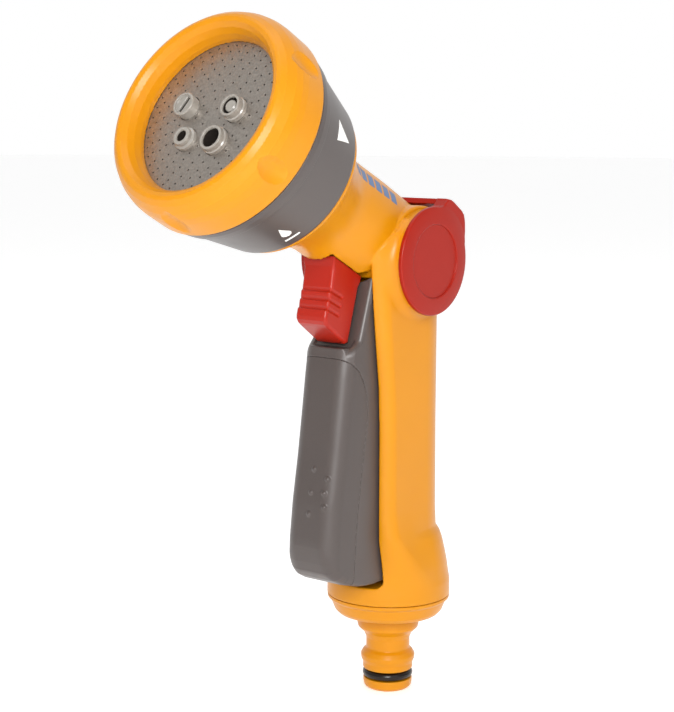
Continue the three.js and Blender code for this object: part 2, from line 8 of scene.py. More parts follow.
import bpy
import numpy as np
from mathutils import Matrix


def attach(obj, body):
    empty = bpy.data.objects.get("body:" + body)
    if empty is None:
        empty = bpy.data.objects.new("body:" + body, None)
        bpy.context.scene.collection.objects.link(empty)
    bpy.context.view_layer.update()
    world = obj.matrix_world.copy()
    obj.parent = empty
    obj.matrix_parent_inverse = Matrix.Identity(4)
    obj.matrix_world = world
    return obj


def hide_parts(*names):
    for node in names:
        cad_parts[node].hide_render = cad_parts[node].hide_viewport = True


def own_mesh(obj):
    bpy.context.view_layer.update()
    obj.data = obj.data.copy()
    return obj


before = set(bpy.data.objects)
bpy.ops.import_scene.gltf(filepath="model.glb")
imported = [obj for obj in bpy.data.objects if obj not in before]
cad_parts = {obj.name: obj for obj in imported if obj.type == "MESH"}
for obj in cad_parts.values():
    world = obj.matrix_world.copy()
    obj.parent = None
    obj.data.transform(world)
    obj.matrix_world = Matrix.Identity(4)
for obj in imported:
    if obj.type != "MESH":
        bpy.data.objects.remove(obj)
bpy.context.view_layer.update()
COARSE = 1.0

# --------------------------------------------------------------- dimensions
HEAD_Z = 137.43                      # where the head axis crosses the handle axis
TILT = math.radians(27.75)           # head axis above the horizontal
FLOW_Y, FLOW_Z = -4.0, 137.56        # axis of the flow control
PIVOT_Y, PIVOT_Z = -18.5, 126.5      # trigger pin
VALVE_Z = 101.0
BARREL_R, BARREL_LIFT = 16.0, 0.5
RING = [(58.5, 25.2), (59.3, 25.45), (77.6, 29.4)]    # selector ring: s, radius
PORT_ANGLE = math.radians(88)
LOCK_LEAN = math.atan2(5.5, 18.6)

H_AXIS = np.array([0.0, -math.cos(TILT), math.sin(TILT)])
H_UP = np.array([0.0, math.sin(TILT), math.cos(TILT)])
HEAD_M = np.column_stack([[1.0, 0, 0], H_UP, H_AXIS])
HEAD_O = np.array([0, 0, HEAD_Z])

# ------------------------------------------------------- distance functions
# Each takes coordinates that broadcast together and returns a distance,
# negative inside.


def meet(a, b, r=0.0):
    if r <= 0:
        return np.maximum(a, b)
    return np.minimum(-r, np.maximum(a, b)) + np.hypot(np.maximum(a + r, 0), np.maximum(b + r, 0))


def join(a, b, r=0.0):
    if r <= 0:
        return np.minimum(a, b)
    return np.maximum(r, np.minimum(a, b)) - np.hypot(np.maximum(r - a, 0), np.maximum(r - b, 0))


def soft_meet(a, b, r):
    return np.minimum(-r, np.maximum(a, b)) + np.hypot(np.maximum(a + r, 0), np.maximum(b + r, 0))


def take(a, b, r=0.0):
    return meet(a, -b, r)


def poly(p, q, pts):
    d = inside = None
    for i in range(len(pts)):
        ax, ay = pts[i]
        bx, by = pts[i - 1]
        ex, ey = bx - ax, by - ay
        wx, wy = p - ax, q - ay
        t = np.clip((wx * ex + wy * ey) / (ex * ex + ey * ey), 0, 1)
        dx, dy = wx - ex * t, wy - ey * t
        dd = dx * dx + dy * dy
        d = dd if d is None else np.minimum(d, dd)
        c1, c2, c3 = q >= ay, q < by, ex * wy > ey * wx
        flip = (c1 & c2 & c3) | (~c1 & ~c2 & ~c3)
        inside = flip if inside is None else inside ^ flip
    return np.where(inside, -1.0, 1.0) * np.sqrt(d)


def table(xs, ys, spread, lo, hi):
    """Piecewise line through the points with its corners eased over `spread`."""
    t = np.arange(lo - 5, hi + 5, 0.05)
    v = np.interp(t, xs, ys)
    n = max(1, int(spread / 0.05)) | 1
    k = np.hanning(n + 2)[1:-1]
    v = np.convolve(np.pad(v, n // 2, mode="edge"), k / k.sum(), mode="valid")
    return lambda x: np.interp(x, t, v)


def segment(x, y, z, a, b):
    a, b = np.array(a, float), np.array(b, float)
    e = b - a
    t = np.clip(((x - a[0]) * e[0] + (y - a[1]) * e[1] + (z - a[2]) * e[2]) / (e @ e), 0, 1)
    return np.sqrt((x - a[0] - e[0] * t) ** 2 + (y - a[1] - e[1] * t) ** 2 + (z - a[2] - e[2] * t) ** 2)


# ------------------------------------------------------------ meshing
def net(F, origin, h):
    s = F < 0
    c = sum(s[i:s.shape[0] - 1 + i, j:s.shape[1] - 1 + j, k:s.shape[2] - 1 + k].astype(np.uint8)
            for i in (0, 1) for j in (0, 1) for k in (0, 1))
    act = (c > 0) & (c < 8)
    idx = np.full(act.shape, -1, np.int64)
    cells = np.argwhere(act)
    idx[act] = np.arange(len(cells))
    acc, cnt = np.zeros((len(cells), 3)), np.zeros(len(cells))
    corners = [(i, j, k) for i in (0, 1) for j in (0, 1) for k in (0, 1)]
    val = {q: F[cells[:, 0] + q[0], cells[:, 1] + q[1], cells[:, 2] + q[2]] for q in corners}
    for a in corners:
        for ax in range(3):
            if a[ax]:
                continue
            b = tuple(v + (1 if m == ax else 0) for m, v in enumerate(a))
            fa, fb = val[a], val[b]
            hit = (fa < 0) != (fb < 0)
            t = np.where(hit, fa / np.where(hit, fa - fb, 1), 0)
            pos = np.tile(np.array(a, float), (len(cells), 1))
            pos[:, ax] += t
            acc += pos * hit[:, None]
            cnt += hit
    verts = origin + h * (cells + acc / cnt[:, None])
    quads = []
    for ax in range(3):
        u, v = (ax + 1) % 3, (ax + 2) % 3
        lo = [slice(None)] * 3
        lo[u] = lo[v] = slice(1, -1)
        a, b = list(lo), list(lo)
        a[ax], b[ax] = slice(0, -1), slice(1, None)
        change = s[tuple(a)] != s[tuple(b)]
        e = np.argwhere(change)
        out = s[tuple(a)][change]           # inside first: faces +axis
        e[:, u] += 1
        e[:, v] += 1

        def cell(du, dv):
            q = e.copy()
            q[:, u] += du
            q[:, v] += dv
            return idx[q[:, 0], q[:, 1], q[:, 2]]

        f = np.stack([cell(-1, -1), cell(0, -1), cell(0, 0), cell(-1, 0)], 1)
        f[~out] = f[~out][:, ::-1]
        quads.append(f)
    return verts, np.concatenate(quads)


def slope(f, p, e=0.04):
    g = np.empty_like(p)
    for m in range(3):
        d = np.zeros(3)
        d[m] = e
        g[:, m] = f(*(p + d).T) - f(*(p - d).T)
    return g / (2 * e)


def skin(name, f, lo, hi, h, mat, body, nodes=(), mirror=True, head=False):
    """Mesh of f < 0 as an object riding on `body` in place of `nodes`."""
    h = h * COARSE
    lo, hi = np.array(lo, float) - 2.3 * h, np.array(hi, float) + 2.3 * h
    ax = [np.arange(lo[m], hi[m] + h, h) for m in range(3)]
    if mirror:
        ax[0] = (np.arange(int(hi[0] / h) + 2) + 0.5) * h
    F = f(ax[0][:, None, None], ax[1][None, :, None], ax[2][None, None, :])
    F = np.broadcast_to(F, tuple(len(a) for a in ax)).astype(np.float32)
    x0 = ax[0][0]
    if mirror:
        F = np.concatenate([F[::-1], F])
        x0 = -ax[0][-1]
    F = np.where(F == 0, np.float32(1e-6), F)
    v, q = net(F, np.array([x0, ax[1][0], ax[2][0]]), h)
    for _ in range(3):
        d = f(*v.T)
        g = slope(f, v)
        g2 = np.maximum((g * g).sum(1), 0.25)
        v = v - np.clip(d / g2, -0.6 * h, 0.6 * h)[:, None] * g
    n = slope(f, v)
    n /= np.maximum(np.linalg.norm(n, axis=1), 1e-6)[:, None]
    if head:
        v, n = v @ HEAD_M.T + HEAD_O, n @ HEAD_M.T
    return finish_piece(name, v, q, n, mat, body, nodes)


def finish_piece(name, v, faces, n, mat, body, nodes=()):
    me = bpy.data.meshes.new(name)
    if isinstance(faces, np.ndarray):
        me.vertices.add(len(v))
        me.vertices.foreach_set("co", (v * 0.001).astype(np.float32).ravel())
        me.loops.add(faces.size)
        me.loops.foreach_set("vertex_index", faces.astype(np.int32).ravel())
        me.polygons.add(len(faces))
        me.polygons.foreach_set("loop_start", np.arange(0, faces.size, faces.shape[1], dtype=np.int32))
        me.update(calc_edges=True)
    else:
        me.from_pydata((v * 0.001).tolist(), [], faces)
        me.update()
    me.polygons.foreach_set("use_smooth", np.ones(len(me.polygons), bool))
    if n is not None:
        me.normals_split_custom_set_from_vertices(n.tolist())
    me.materials.append(mat)
    ob = bpy.data.objects.new(name, me)
    bpy.context.scene.collection.objects.link(ob)
    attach(ob, body)
    if nodes:
        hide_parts(*nodes)
    return ob


def eased(points, fillet):
    """Closed outline with rounded corners: positions and outward normals."""
    pts = [tuple(p[:2]) for p in points]
    rad = [p[2] if len(p) > 2 else fillet for p in points]
    area = sum(pts[i - 1][0] * pts[i][1] - pts[i][0] * pts[i - 1][1] for i in range(len(pts)))
    if area < 0:
        pts, rad = pts[::-1], rad[::-1]
    P, N = [], []
    m = len(pts)
    for i in range(m):
        a, p, b = map(np.array, (pts[i - 1], pts[i], pts[(i + 1) % m]))
        d0, d1 = p - a, b - p
        l0, l1 = np.hypot(*d0), np.hypot(*d1)
        d0, d1 = d0 / l0, d1 / l1
        n0, n1 = np.array([d0[1], -d0[0]]), np.array([d1[1], -d1[0]])
        on_axis = p[0] < 1e-6
        turn = math.atan2(d0[0] * d1[1] - d0[1] * d1[0], float(np.clip(d0 @ d1, -1, 1)))
        if on_axis:
            P.append(p)
            N.append(n0 if abs(n0[1]) > abs(n1[1]) else n1)
            continue
        if abs(turn) < 0.03:
            P.append(p)
            N.append((n0 + n1) / np.linalg.norm(n0 + n1))
            continue
        r = max(rad[i], 0.02)
        t = min(r * math.tan(abs(turn) / 2), 0.47 * l0, 0.47 * l1)
        r = t / math.tan(abs(turn) / 2)
        sg = 1 if turn > 0 else -1
        c = p - d0 * t - n0 * r * sg
        steps = max(2, int(math.ceil(abs(turn) / math.radians(11))))
        for k in range(steps + 1):
            w = turn * k / steps
            n = np.array([n0[0] * math.cos(w) - n0[1] * math.sin(w), n0[0] * math.sin(w) + n0[1] * math.cos(w)])
            P.append(c + n * r * sg)
            N.append(n)
    return np.array(P), np.array(N)


def spun(points, fillet=0.25, seg=128):
    """Vertices, faces and normals of an outline [r, z(, fillet)] spun about z."""
    P, N = eased(points, fillet)
    a = np.arange(seg) / seg * 2 * math.pi
    V, M, ring = [], [], []
    for (r, z), (nr, nz) in zip(P, N):
        if r < 1e-6:
            ring.append([len(V)] * seg)
            V.append((0, 0, z))
            M.append((0, 0, math.copysign(1, nz)))
        else:
            ring.append(list(range(len(V), len(V) + seg)))
            V += [(r * math.cos(t), r * math.sin(t), z) for t in a]
            M += [(nr * math.cos(t), nr * math.sin(t), nz) for t in a]
    F = []
    m = len(P)
    for i in range(m):
        A, B = ring[i], ring[(i + 1) % m]
        if P[i][0] < 1e-6 and P[(i + 1) % m][0] < 1e-6:
            continue
        for j in range(seg):
            k = (j + 1) % seg
            f = [A[j], A[k], B[k], B[j]]
            g = []
            for q in f:
                if q not in g:
                    g.append(q)
            F.append(g)
    return np.array(V, float), F, np.array(M, float)


def turned(name, points, mat, body, nodes=(), fillet=0.25, seg=128, head=True, at=(0, 0, 0)):
    v, f, n = spun(points, fillet, seg)
    v = v + np.array(at, float)
    if head:
        v, n = v @ HEAD_M.T + HEAD_O, n @ HEAD_M.T
    return finish_piece(name, v, f, n, mat, body, nodes)


# --------------------------------------------------------------- finishes
def srgb(r, g, b):
    def lin(c):
        c /= 255
        return c / 12.92 if c <= 0.04045 else ((c + 0.055) / 1.055) ** 2.4
    return (lin(r), lin(g), lin(b), 1)


def finish(name, rgb, rough, metal=0.0, grain=0.0, grain_scale=1500, mottle=0.0, mottle_scale=60,
           coat=0.0, sss=0.0, spec=0.5, transmission=0.0, bump=0.0, bump_scale=2500):
    m = bpy.data.materials.new(name)
    m.use_nodes = True
    nt = m.node_tree
    b = nt.nodes["Principled BSDF"]
    b.inputs["Base Color"].default_value = srgb(*rgb)
    b.inputs["Roughness"].default_value = rough
    b.inputs["Metallic"].default_value = metal
    b.inputs["Specular IOR Level"].default_value = spec
    b.inputs["Coat Weight"].default_value = coat
    b.inputs["Coat Roughness"].default_value = 0.2
    b.inputs["Transmission Weight"].default_value = transmission
    if sss:
        b.inputs["Subsurface Weight"].default_value = sss
        b.inputs["Subsurface Radius"].default_value = (1.0, 0.45, 0.15)
        b.inputs["Subsurface Scale"].default_value = 0.0015
    co = nt.nodes.new("ShaderNodeTexCoord")
    if grain or mottle:
        mix_in = None
        base = srgb(*rgb)
        for amount, scale in ((mottle, mottle_scale), (grain, grain_scale)):
            if not amount:
                continue
            no = nt.nodes.new("ShaderNodeTexNoise")
            no.inputs["Scale"].default_value = scale
            no.inputs["Detail"].default_value = 2
            nt.links.new(co.outputs["Object"], no.inputs["Vector"])
            mr = nt.nodes.new("ShaderNodeMapRange")
            mr.inputs["From Min"].default_value = 0.3
            mr.inputs["From Max"].default_value = 0.7
            mr.inputs["To Min"].default_value = 1 - amount
            mr.inputs["To Max"].default_value = 1 + amount
            nt.links.new(no.outputs["Fac"], mr.inputs["Value"])
            vm = nt.nodes.new("ShaderNodeVectorMath")
            vm.operation = "SCALE"
            if mix_in is None:
                vm.inputs[0].default_value = base[:3]
            else:
                nt.links.new(mix_in, vm.inputs[0])
            nt.links.new(mr.outputs["Result"], vm.inputs["Scale"])
            mix_in = vm.outputs["Vector"]
        nt.links.new(mix_in, b.inputs["Base Color"])
    rn = nt.nodes.new("ShaderNodeTexNoise")
    rn.inputs["Scale"].default_value = 90
    nt.links.new(co.outputs["Object"], rn.inputs["Vector"])
    rr = nt.nodes.new("ShaderNodeMapRange")
    rr.inputs["To Min"].default_value = max(rough - 0.05, 0.02)
    rr.inputs["To Max"].default_value = rough + 0.05
    nt.links.new(rn.outputs["Fac"], rr.inputs["Value"])
    nt.links.new(rr.outputs["Result"], b.inputs["Roughness"])
    if bump:
        bn = nt.nodes.new("ShaderNodeTexNoise")
        bn.inputs["Scale"].default_value = bump_scale
        bn.inputs["Detail"].default_value = 3
        nt.links.new(co.outputs["Object"], bn.inputs["Vector"])
        bp = nt.nodes.new("ShaderNodeBump")
        bp.inputs["Strength"].default_value = bump
        bp.inputs["Distance"].default_value = 0.0001
        nt.links.new(bn.outputs["Fac"], bp.inputs["Height"])
        nt.links.new(bp.outputs["Normal"], b.inputs["Normal"])
    return m


ORANGE = finish("orange_plastic", (201, 130, 5), 0.32, mottle=0.012, sss=0.05, bump=0.03, spec=0.29)
GREY = finish("grey_plastic", (74, 66, 63), 0.34, grain=0.02, bump=0.05, spec=0.5)
SOFT = finish("grey_soft_plastic", (72, 64, 61), 0.36, grain=0.02, bump=0.06, spec=0.5)
RED = finish("red_plastic", (158, 30, 14), 0.32, mottle=0.012, bump=0.03, spec=0.3)
DEEP_RED = finish("red_plastic_disc", (149, 25, 8), 0.33, mottle=0.012, bump=0.03, spec=0.24)
ROSE = finish("rose_metal", (164, 157, 149), 0.36, metal=0.85, grain=0.16, grain_scale=1700, bump=0.14, bump_scale=2400)
PALE = finish("pale_plastic", (152, 147, 139), 0.2, transmission=0.12, coat=0.5)
RUBBER = finish("black_rubber", (20, 11, 6), 0.24, spec=0.35)
DARK = finish("bore_shade", (40, 35, 31), 0.6, spec=0.2)
BRASS = finish("brass", (196, 158, 80), 0.3, metal=1.0)
STEEL = finish("steel", (190, 193, 197), 0.28, metal=1.0)
WHITE = finish("white_print", (240, 238, 234), 0.5)
BLUE = finish("blue_print", (88, 112, 150), 0.5)

for name, mat in {
    "cap_seal": RUBBER, "stem_seal": RUBBER, "port_seal": RUBBER, "rose_gasket": RUBBER, "valve_washer": RUBBER,
    "spool_oring_l": RUBBER, "spool_oring_r": RUBBER, "valve_seat": BRASS, "gland_bush": BRASS,
    "pivot_pin": STEEL, "port_spring": STEEL, "head_screw": STEEL, "valve_spring": STEEL, "valve_stem": STEEL,
    "flow_spool": PALE, "diverter_block": PALE,
}.items():
    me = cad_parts[name].data
    if me.materials:
        for i in range(len(me.materials)):
            me.materials[i] = mat
    else:
        me.materials.append(mat)

# --------------------------------------------------------------- gun body
HZ = [31.3, 36.2, 38.2, 42.0, 45.5, 49.0, 51.3, 53.3, 60.0, 88.0, 100.0, 109.0, 118.0, 127.0, 136.0, 147.0]
HW = [19.4, 19.35, 18.95, 18.4, 17.7, 16.9, 16.1, 14.8, 14.5, 14.3, 14.3, 14.3, 14.3, 14.3, 14.3, 14.3]
HF = [-19.4, -19.3, -18.6, -17.9, -17.9, -18.3, -18.6, -18.8, -18.9, -19.1, -19.6, -20.7, -21.8, -22.8, -23.7, -24.4]
HC = [19.3, 19.2, 17.0, 13.0, 10.0, 7.5, 6.0, 4.6, 4.2, 4.0, 4.0, 4.0, 4.2, 4.6, 5.0, 5.0]
hw = table(HZ, HW, 1.6, 25, 150)
hs = table([31.3, 36.2, 42, 46, 50, 55, 60, 66, 150], [19.4, 19.35, 18.4, 17.3, 16.2, 15.2, 14.6, 14.35, 14.3], 5, 25, 150)
hf = table(HZ, HF, 2.5, 25, 150)
hc = table(HZ, HC, 3.0, 25, 150)
BS = [-6, -4.4, -1.5, 4, 20, 28, 33] + list(range(37, 58)) + [58.5]
BR = [10, 13.6, 15.6, BARREL_R, BARREL_R, 15.85, 15.75] + [15.72 + 8.8 * ((s - 37) / 20) ** 1.9 for s in range(37, 58)] + [24.5]
br = table(BS, BR, 2.0, -8, 60)

CHANNEL = [(-70, 37), (-2.4, 37), (-2.4, 118), (-12, 118), (-12.2, 124), (-12.6, 128.6), (-15, 131.8),
           (-20.5, 132.9), (-24, 132.8), (-26.5, 133), (-40, 134), (-70, 117.9)]
# upper outline of the handle's flat sides
SHOULDER = [(-60, 100), (-24.9, 139.4), (-20.2, 144.6), (-12.9, 150.7), (-9.6, 149.4), (-3, 149.4), (4, 141), (5.5, 137.6), (40, 137.6),
            (40, 20), (-60, 20)]
POCKET = [(-37.1, 134), (-36.85, 138.0), (-36.65, 141), (-36.35, 143.0), (-35.9, 144.2), (-34.6, 144.9), (-19.8, 138.0), (-20.2, 127)]


def head_coords(x, y, z):
    s = y * H_AXIS[1] + (z - HEAD_Z) * H_AXIS[2]
    u = y * H_UP[1] + (z - HEAD_Z) * H_UP[2]
    return s, u


def lifted(s):
    return BARREL_LIFT * np.clip((50 - s) / 26, 0, 1)


def narrow(s):
    """How far the barrel is narrowed sideways, from 1 in the handle to 0 at the flare."""
    t = np.clip((49 - s) / 16, 0, 1)
    return t * t * (3 - 2 * t)


def half_plane(py, pz, deg, side):
    a = math.radians(deg)
    return side * (math.cos(a) * pz - math.sin(a) * py)


def body_f(x, y, z):
    ax = np.abs(x)
    # the heel stands out at the back and fades towards the front
    t = np.clip((y + 9) / 14, 0, 1)
    t = t * t * (3 - 2 * t)
    w, yf, rc = hs(z) + (hw(z) - hs(z)) * t, hf(z), hc(z)
    cy, by = (w + yf) / 2, (w - yf) / 2
    py = y - cy
    r = np.where(py > 0, w, rc)
    qx, qy = ax - w + r, np.abs(py) - by + r
    handle = np.hypot(np.maximum(qx, 0), np.maximum(qy, 0)) + np.minimum(np.maximum(qx, qy), 0) - r
    handle = meet(handle, 31.12 - z, 0.35)
    fy, fz = y - FLOW_Y, z - FLOW_Z
    fr = np.hypot(fy, fz)
    pad = meet(fr - 15.2, ax - 17.7, 0.3)
    # the flat side swells gently up to the seat of the disc
    k = 0.3 + 3.0 * np.clip((8 - y) / 6, 0, 1)
    handle = np.maximum(k, np.minimum(handle, pad)) - np.hypot(np.maximum(k - handle, 0), np.maximum(k - pad, 0))
    handle = soft_meet(handle, poly(y, z, SHOULDER), 0.5 + 0.9 * np.clip((y + 2) / 4, 0, 1))
    corner = 0.2 + 2.6 * np.clip((46 - z) / 4, 0, 1)
    tall = soft_meet(np.maximum(y + 12, np.maximum(37 - z, z - 150)), ax - 10.2, corner)
    handle = take(handle, tall, 0.5)
    s, u = head_coords(x, y, z)
    k = narrow(s)
    rr = np.hypot(x * (1 + 0.171 * k), u - lifted(s))
    barrel = (rr - br(s) - 0.4 * k) * 0.93
    barrel = meet(meet(barrel, s - 58, 0.35), -6 - s, 1.0)
    # its underside rises towards the handle
    barrel = take(barrel, np.maximum((z - 132.9 - 0.3 * (y + 29)) * 0.96, y + 18.2), 0.8)
    boss = np.minimum(meet(fr - 16.6, ax - 14.25, 0.7), pad)
    d = join(join(handle, barrel, 0.5), boss, 0.3)
    chan = soft_meet(poly(y, z, CHANNEL), ax - 10.2, corner)
    d = take(d, chan, 0.45)
    sweep = np.maximum(np.maximum(17.65 - fr, fr - 27), np.maximum(half_plane(fy, fz, -18, -1), half_plane(fy, fz, 70.5, 1)))
    cheek = np.maximum(np.maximum(16.05 - fr, fr - 27), np.maximum(half_plane(fy, fz, -32, -1), half_plane(fy, fz, 70.5, 1)))
    d = take(d, np.minimum(sweep, np.maximum(cheek, 14.7 - ax)), 0.4)
    d = take(d, np.maximum(poly(y, z, POCKET), ax - 6.15), 0.15)
    # bores that hold other pieces
    d = np.maximum(d, -np.maximum(np.hypot(x, z - VALVE_Z) - 5.2, np.maximum(-4 - y, y - 11.8)))
    d = np.maximum(d, 5.9 - fr)
    d = np.maximum(d, -np.maximum(np.hypot(x, y) - 7.4, z - 35.5))
    pu = 8.5 * math.sin(PORT_ANGLE)
    px = 8.5 * math.cos(PORT_ANGLE)
    d = np.maximum(d, -np.maximum(np.hypot(ax - px, u - pu) - 3.3, 49 - s))
    d = np.maximum(d, -np.maximum(np.hypot(x, u) - 2.4, 51.5 - s))
    d = np.maximum(d, -np.maximum(np.hypot(y - PIVOT_Y, z - PIVOT_Z) - 1.7, ax - 12.9))
    return d


skin("body_shell", body_f, (-24.6, -63, 31.2), (24.6, 19.6, 186.2), 0.5, ORANGE, "gun_body", ["main_body"])

# --------------------------------------------------------------- base and inlet
turned("base_cap", [
    [7.3, 24.75], [14.2, 24.75, 0.3], [16.0, 25.0, 0.9], [17.1, 26.2, 1.2], [17.75, 27.8, 1.0], [18.35, 29.3, 0.5],
    [19.3, 30.1, 0.3], [19.35, 31.02, 0.2], [7.3, 31.02],
], ORANGE, "gun_body", ["end_cap"], seg=160, head=False)
turned("inlet_spigot", [
    [4.6, 0], [6.6, 0, 0.6], [7.55, 0.9, 1.0], [7.75, 2.2, 0.8], [7.75, 3.3, 0.2], [5.0, 3.3], [5.0, 6.35],
    [7.7, 6.35, 0.2], [7.9, 6.7, 0.3], [7.9, 8.3, 1.0], [8.45, 9.6, 1.0], [8.6, 10.9, 1.1], [7.85, 12.2, 0.8],
    [6.9, 13.0, 0.7], [6.9, 16.4, 1.5], [7.6, 18.2, 1.5], [9.0, 19.5, 0.8], [9.55, 20.1, 0.35], [9.75, 21.0, 0.4],
    [9.75, 24.4, 0.3], [6.9, 24.4, 0.1], [6.9, 30.6, 0.1], [5.9, 30.6, 0.1], [5.9, 33.4, 0.1], [6.9, 33.4, 0.1],
    [6.9, 35.0, 0.3], [4.6, 35.0, 0.3],
], ORANGE, "gun_body", ["inlet_nipple"], seg=128, head=False)
oring = [[6.68 + 1.3 * math.cos(a), 4.82 + 1.3 * math.sin(a), 0.2] for a in np.arange(0, 2 * math.pi, math.pi / 14)]
turned("inlet_seal_ring", oring, RUBBER, "gun_body", ["inlet_oring"], seg=128, head=False)

# closing spring of the valve, built as a fixed coil (on the gun it shortens as the trigger is squeezed)
V, F = [], []
turns, wire, steps, sides = 3.5, 0.35, 84, 8
for i in range(steps + 1):
    a, c = i / steps * turns * 2 * math.pi, 7.2 + i / steps * 3.95
    for j in range(sides):
        b = j / sides * 2 * math.pi
        r = 3.2 + wire * math.cos(b)
        V.append([r * math.cos(a), c + wire * math.sin(b), VALVE_Z + r * math.sin(a)])
for i in range(steps):
    for j in range(sides):
        p, q = i * sides + j, i * sides + (j + 1) % sides
        F.append([p, q, q + sides, p + sides])
F.append(list(range(sides))[::-1])
F.append([steps * sides + j for j in range(sides)])
coil = finish_piece("valve_coil", np.array(V), F, None, STEEL, "gun_body", ["valve_spring"])
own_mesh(coil)

# --------------------------------------------------------------- trigger
FZ = [36, 46, 50, 55, 66, 80, 94, 105, 112.6]
FYV = [-40.2, -40.5, -40.7, -40.5, -39.2, -36.8, -34.8, -33.3, -32.0]
front = table(FZ, FYV, 5, 30, 120)
UZ = [112.0, 112.7, 114.4, 123.5, 141.0, 150]
UY = [-28.2, -28.0, -27.2, -24.5, -19.3, -16.6]
upper = table(UZ, UY, 0.8, 108, 150)
SIDE = [(-12.5, 39.7), (-20, 39.3), (-27, 39.8), (-33, 41.3), (-36.2, 43.0), (-38.6, 45.2), (-40.2, 48.2), (-41.6, 52.5),
        (-46, 60), (-46, 113.0), (-46, 141), (-22.6, 141), (-20.9, 132.2), (-17.6, 131.2), (-15.0, 129.9),
        (-13.9, 127.8), (-13.8, 124.5), (-13.0, 116.5), (-10.4, 112), (-9.8, 104), (-10.4, 80), (-11.4, 60)]
HOLLOW = [(2, 41.9), (-20, 41.6), (-27, 42.1), (-31.5, 43.8), (-34.6, 45.6), (-46, 53), (-46, 123.6), (2, 123.6)]
PAD = [(-37.5, 111.4), (-34, 110.4), (-30.7, 108.4), (-27.8, 105.8), (-25.6, 102.4), (-24.2, 98.2), (-23.9, 90.7),
       (-25.4, 81.9), (-26.8, 73), (-28.1, 64), (-29.1, 55), (-29.6, 48), (-30.4, 36), (-60, 36), (-60, 111.4)]


def form_f(x, y, z):
    """The trigger's outer form, without its side outline."""
    ax = np.abs(x)
    yf = front(z)
    t = np.clip((y - yf) / 12, 0, 1)
    side = ax - (8.75 + 1.05 * t * (2 - t))
    face = yf - 0.35 + 0.35 * np.minimum(ax / 8.7, 1) ** 2 - y
    k = np.clip((ax - 6.5) / 0.9, 0, 1)      # blend beside the lock
    low = soft_meet(meet(side, face, 4.6), z - 112.65, 0.35 + 2.4 * k)
    top = meet(soft_meet(side, upper(z) - y, 1.6), 110 - z)
    k = 0.05 + 2.9 * k
    d = np.maximum(k, np.minimum(low, top)) - np.hypot(np.maximum(k - low, 0), np.maximum(k - top, 0))
    return np.maximum(d, side)


def lever_outer(x, y, z):
    d = soft_meet(form_f(x, y, z), poly(y, z, SIDE), 0.6 + 2.6 * np.clip((56 - z) / 10, 0, 1) * np.clip((-24 - y) / 9, 0, 1))
    s, u = head_coords(x, y, z)
    return take(d, np.hypot(x, u - 0.5) - (BARREL_R + 0.6), 0.3)


def trigger_f(x, y, z):
    ax = np.abs(x)
    o = lever_outer(x, y, z)
    form = form_f(x, y, z)
    d = take(o, np.maximum(poly(y, z, PAD), -(o + 1.9)), 0.13)
    d = take(d, np.maximum(form + 3.4, poly(y, z, HOLLOW)), 0.3)
    pv = np.hypot(y - PIVOT_Y, z - PIVOT_Z)
    d = np.minimum(d, np.maximum(pv - 4.2, np.maximum(ax - 9.8, 6.6 - ax)))
    web = np.maximum(np.maximum(ax - 6.9, np.abs(z - VALVE_Z) - 1.4), np.maximum(-34 - y, y + 8.75))
    d = np.minimum(d, np.maximum(web, form + 2.3))
    d = np.maximum(d, -(pv - 1.8))
    # slot for the tongue of the lock
    ly = (y + 27.2) * math.cos(LOCK_LEAN) - (z - 114.4) * math.sin(LOCK_LEAN)
    lz = (y + 27.2) * math.sin(LOCK_LEAN) + (z - 114.4) * math.cos(LOCK_LEAN)
    slot = np.maximum(np.maximum(ax - 3.0, np.abs(ly - 1.5) - 4.5), np.maximum(1.4 - lz, lz - 10.0))
    return np.maximum(d, -slot)


BUMPS = [(0.5, 76.6), (5.6, 74.2), (0.2, 69.7), (5.0, 70.0), (5.5, 65.9), (0.2, 63.3)]


def pad_f(x, y, z):
    o = lever_outer(x, y, z)
    d = meet(meet(o, poly(y, z, PAD) - 0.01, 0.15), -(o + 1.6))
    for bx, bz in BUMPS:
        by = float(front(bz)) - 0.35 + 0.5 + 4.6 - math.sqrt(4.6 ** 2 - max(bx - 4.15, 0) ** 2)
        k = np.sqrt((x - bx) ** 2 + (y - by) ** 2 + (z - bz) ** 2) - 0.95
        d = join(d, k, 0.3)
    return d


skin("trigger_body", trigger_f, (-9.9, -41.4, 39.2), (9.9, -8.6, 134.5), 0.36, GREY, "trigger", ["trigger_lever"])
skin("trigger_pad", pad_f, (-9.9, -42.4, 41.0), (9.9, -23.5, 111.6), 0.34, SOFT, "trigger",
     ["trigger_grip"], mirror=False)

# --------------------------------------------------------------- lock slide
LOCK = [(-35.2, 140.3), (-35.3, 137.2), (-35.95, 133.0), (-36.4, 130.7), (-37.1, 129.5), (-37.2, 128.2), (-37.8, 126.9),
        (-37.95, 125.8), (-38.7, 124.4), (-39.15, 122.6), (-39.2, 121.4), (-38.5, 120.2), (-37.4, 119.3),
        (-29.5, 113.75), (-28.2, 113.9), (-27.95, 114.5), (-22.35, 133.5)]
GROOVES = [(-36.75, 130.4), (-37.5, 127.75), (-38.3, 125.2)]


